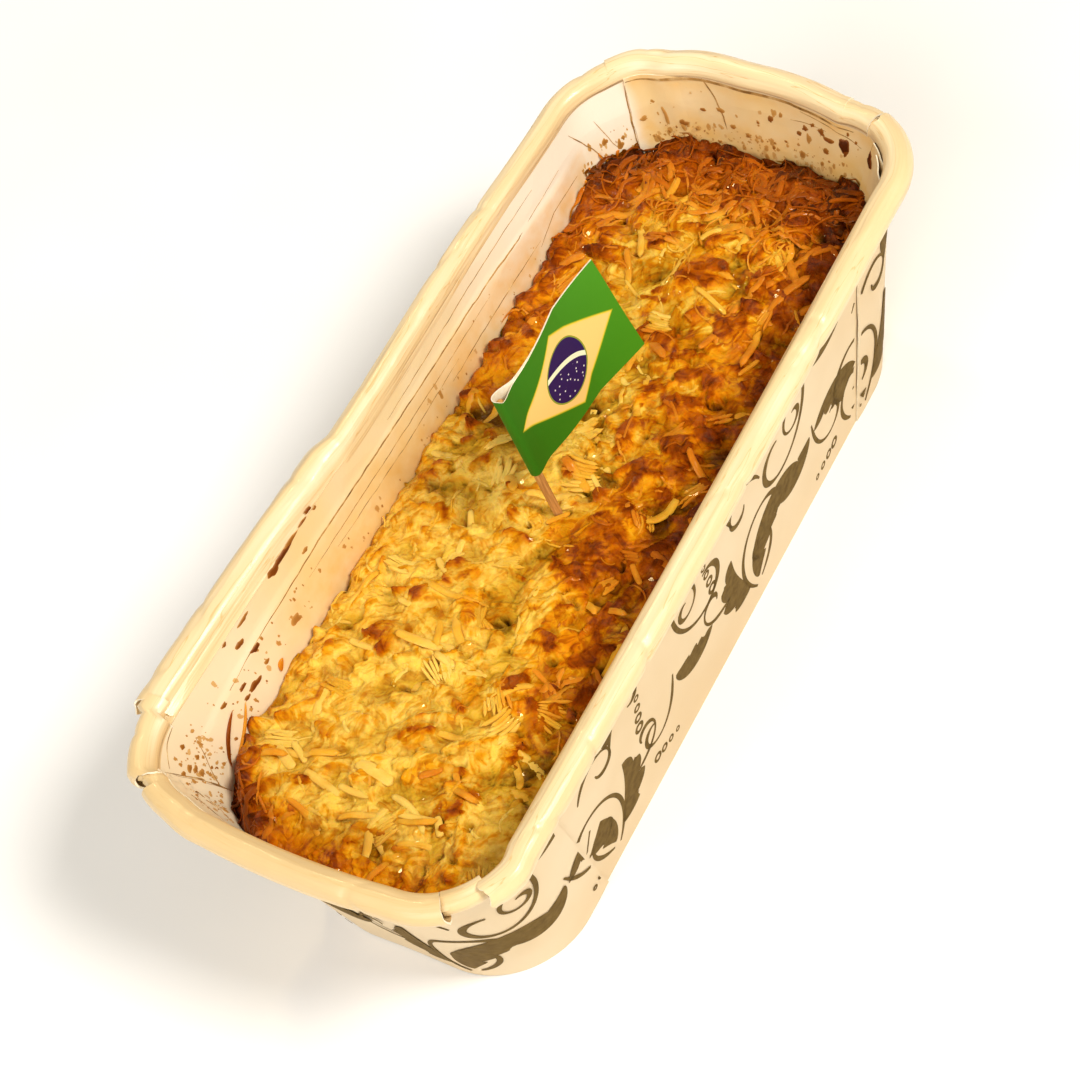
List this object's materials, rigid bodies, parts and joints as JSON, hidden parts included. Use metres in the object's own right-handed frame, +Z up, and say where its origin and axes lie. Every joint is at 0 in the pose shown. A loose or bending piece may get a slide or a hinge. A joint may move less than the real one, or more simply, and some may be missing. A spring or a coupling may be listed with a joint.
{
  "type": "cassava coconut cake",
  "caption": "Loaf-shaped cake with a craggy browned coconut top, baked in a printed paper case with a rolled rim, with a paper flag on a wooden pick.",
  "frame": {"origin": "middle of the case's flat base, on its underside", "axes": "+Z up, +Y along the case towards its browner far end, +X towards the straight long wall"},
  "size_m": [0.0856, 0.184, 0.0736],
  "materials": {
    "case_paper": "coated paperboard, glossy cream inside and on the rolled rim, off-white outside with olive-brown scrolls",
    "cake_crumb": "moist golden crumb with glossy coconut shreds, browned at the edges and on the peaks",
    "pick_wood": "plain turned hardwood",
    "flag_paper": "semi-gloss printed paper"
  },
  "bodies": {
    "root": {"case": "case_paper", "cake": "cake_crumb", "pick": "pick_wood", "flag": "flag_paper"}
  },
  "joints": []
}
